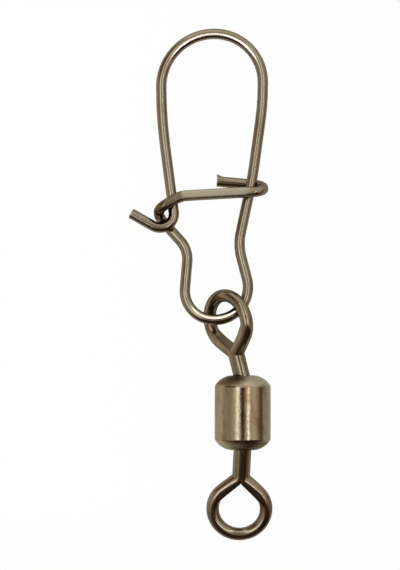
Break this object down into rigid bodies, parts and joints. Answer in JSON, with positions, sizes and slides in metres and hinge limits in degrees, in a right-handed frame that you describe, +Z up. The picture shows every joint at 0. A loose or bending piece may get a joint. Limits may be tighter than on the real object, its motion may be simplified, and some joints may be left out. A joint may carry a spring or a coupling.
{
  "type": "fishing snap swivel",
  "caption": "Barrel swivel with a spinning wire eye in each end and a one-piece wire snap linked through one eye, lying flat.",
  "frame": {"origin": "under the middle of the part as it lies, on the surface it lies on", "axes": "+Y along the part from the line eye to the snap's loop, +X to the right seen from above, +Z up"},
  "size_m": [0.0136, 0.0486, 0.0053],
  "materials": {
    "barrel_metal": "dark nickel plated, turned, satin",
    "upper_eye_metal": "dark nickel plated wire",
    "lower_eye_metal": "dark nickel plated wire",
    "snap_metal": "drawn spring wire, dark nickel plated"
  },
  "bodies": {
    "barrel": {"barrel": "barrel_metal"},
    "upper_eye": {"upper_eye": "upper_eye_metal"},
    "lower_eye": {"lower_eye": "lower_eye_metal"},
    "snap": {"snap": "snap_metal"}
  },
  "joints": [
    {"name": "upper_eye_spin", "type": "hinge", "parent": "barrel", "child": "upper_eye", "pos_m": [0.00403, -0.00919, 0.00265], "axis": [-0.2419, 0.9703, 0], "continuous": true},
    {"name": "lower_eye_spin", "type": "hinge", "parent": "barrel", "child": "lower_eye", "pos_m": [0.00396, -0.01562, 0.00256], "axis": [-0.0475, -0.971, -0.2343], "continuous": true},
    {"name": "snap_swing", "type": "hinge", "parent": "upper_eye", "child": "snap", "pos_m": [0.00233, -0.0032, 0.00261], "axis": [0.8937, 0.2628, -0.3636], "range_deg": [-130, 150]}
  ]
}
